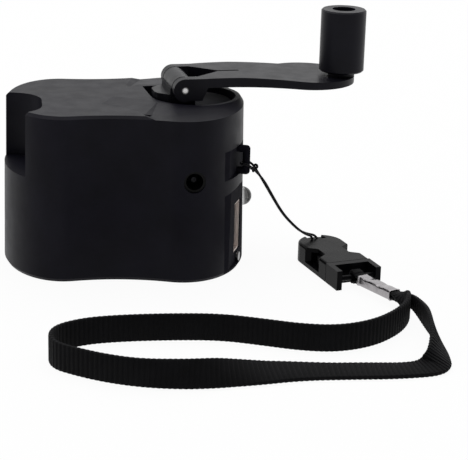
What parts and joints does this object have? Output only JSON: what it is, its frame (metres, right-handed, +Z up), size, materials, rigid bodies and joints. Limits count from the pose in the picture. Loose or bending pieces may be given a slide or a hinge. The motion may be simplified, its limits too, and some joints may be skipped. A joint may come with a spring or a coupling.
{
  "type": "hand crank phone charger",
  "caption": "Pocket charger with a fold-over crank on top, a USB socket, LED and DC input at one end, and a wrist strap on a thin cord with a snap buckle.",
  "frame": {"origin": "middle of the case's base face, on the floor", "axes": "+X towards the crank and USB end, -Y the front with the DC input, +Z up along the crank shaft"},
  "size_m": [0.0977, 0.1134, 0.0643],
  "materials": {
    "case": "finely textured ABS",
    "base": "finely textured ABS",
    "crank_plastic": "satin moulded plastic",
    "hub_plastic": "satin moulded plastic",
    "knob_plastic": "finely textured moulded plastic",
    "bright_steel": "plain steel",
    "black_screw": "blackened steel",
    "nickel_shell": "nickel-plated pressed sheet",
    "socket_plastic": "moulded thermoplastic",
    "gold_contact": "gold-flashed contacts",
    "clear_lens": "clear epoxy",
    "gear_nylon": "natural acetal",
    "frame_plastic": "glass-filled nylon",
    "zinc_can": "zinc-plated drawn steel",
    "magnet": "ferrite ring on a steel shaft",
    "winding": "enamelled copper wire",
    "board_green": "solder-masked board",
    "chip_black": "moulded package",
    "cap_sleeve": "shrink sleeve",
    "sintered_bronze": "sintered bronze",
    "cord": "braided nylon cord",
    "buckle_plastic": "moulded acetal",
    "clamp_metal": "nickel-plated folded sheet",
    "webbing": "ribbed nylon webbing"
  },
  "bodies": {
    "case": {"main_shell": "case", "base_cover": "base", "base_screws": "black_screw", "end_screw": "bright_steel", "usb_shell": "nickel_shell", "usb_tongue": "socket_plastic", "usb_contacts": "gold_contact", "led_lens": "clear_lens", "dc_jack": "socket_plastic", "dc_jack_pin": "nickel_shell", "circuit_board": "board_green", "storage_capacitor": "cap_sleeve", "regulator": "chip_black", "rectifier_diodes": "chip_black", "inductor": "chip_black", "gearbox_base": "frame_plastic", "gearbox_top": "frame_plastic", "gearbox_screws": "bright_steel", "generator_can": "zinc_can", "generator_end_cap": "frame_plastic", "generator_winding": "winding", "hub_bush": "sintered_bronze", "first_axle": "bright_steel", "second_axle": "bright_steel", "lanyard_cord": "cord", "buckle_socket": "buckle_plastic"},
    "turntable": {"crank_hub": "hub_plastic", "drive_gear": "gear_nylon", "hub_washer": "bright_steel", "hub_screw": "bright_steel"},
    "arm": {"crank_arm": "crank_plastic", "hinge_pin": "bright_steel", "knob_axle": "bright_steel"},
    "grip": {"knob": "knob_plastic"},
    "gear_1": {"first_gear": "gear_nylon"},
    "gear_2": {"second_gear": "gear_nylon"},
    "rotor": {"generator_rotor": "magnet", "generator_pinion": "gear_nylon"},
    "strap": {"buckle_clip": "buckle_plastic", "strap_clamp": "clamp_metal", "wrist_strap": "webbing"}
  },
  "joints": [
    {"name": "crank_spin", "type": "hinge", "parent": "case", "child": "turntable", "pos_m": [0.0183, 0, 0.0393], "axis": [0, 0, 1], "continuous": true},
    {"name": "arm_fold", "type": "hinge", "parent": "turntable", "child": "arm", "pos_m": [0.01459, -0.00032, 0.0452], "axis": [0.0872, -0.9962, 0], "range_deg": [0, 180]},
    {"name": "knob_spin", "type": "hinge", "parent": "arm", "child": "grip", "pos_m": [0.05607, -0.00169, 0.0486], "axis": [0, 0, 1], "continuous": true},
    {"name": "first_gear_spin", "type": "hinge", "parent": "case", "child": "gear_1", "pos_m": [0.00582, 0.00175, 0.0262], "axis": [0, 0, 1], "continuous": true},
    {"name": "second_gear_spin", "type": "hinge", "parent": "case", "child": "gear_2", "pos_m": [-0.00574, -0.00147, 0.0231], "axis": [0, 0, 1], "continuous": true},
    {"name": "rotor_spin", "type": "hinge", "parent": "case", "child": "rotor", "pos_m": [-0.0136, 0, 0.0074], "axis": [0, 0, 1], "continuous": true},
    {"name": "buckle_release", "type": "slide", "parent": "case", "child": "strap", "axis": [0.2402, -0.9707, 0], "range_m": [0, 0.01]}
  ],
  "couplings": [
    {"joint": "first_gear_spin", "follows": "crank_spin", "ratio": -3.2},
    {"joint": "second_gear_spin", "follows": "crank_spin", "ratio": 12.16},
    {"joint": "rotor_spin", "follows": "crank_spin", "ratio": -36.48}
  ]
}
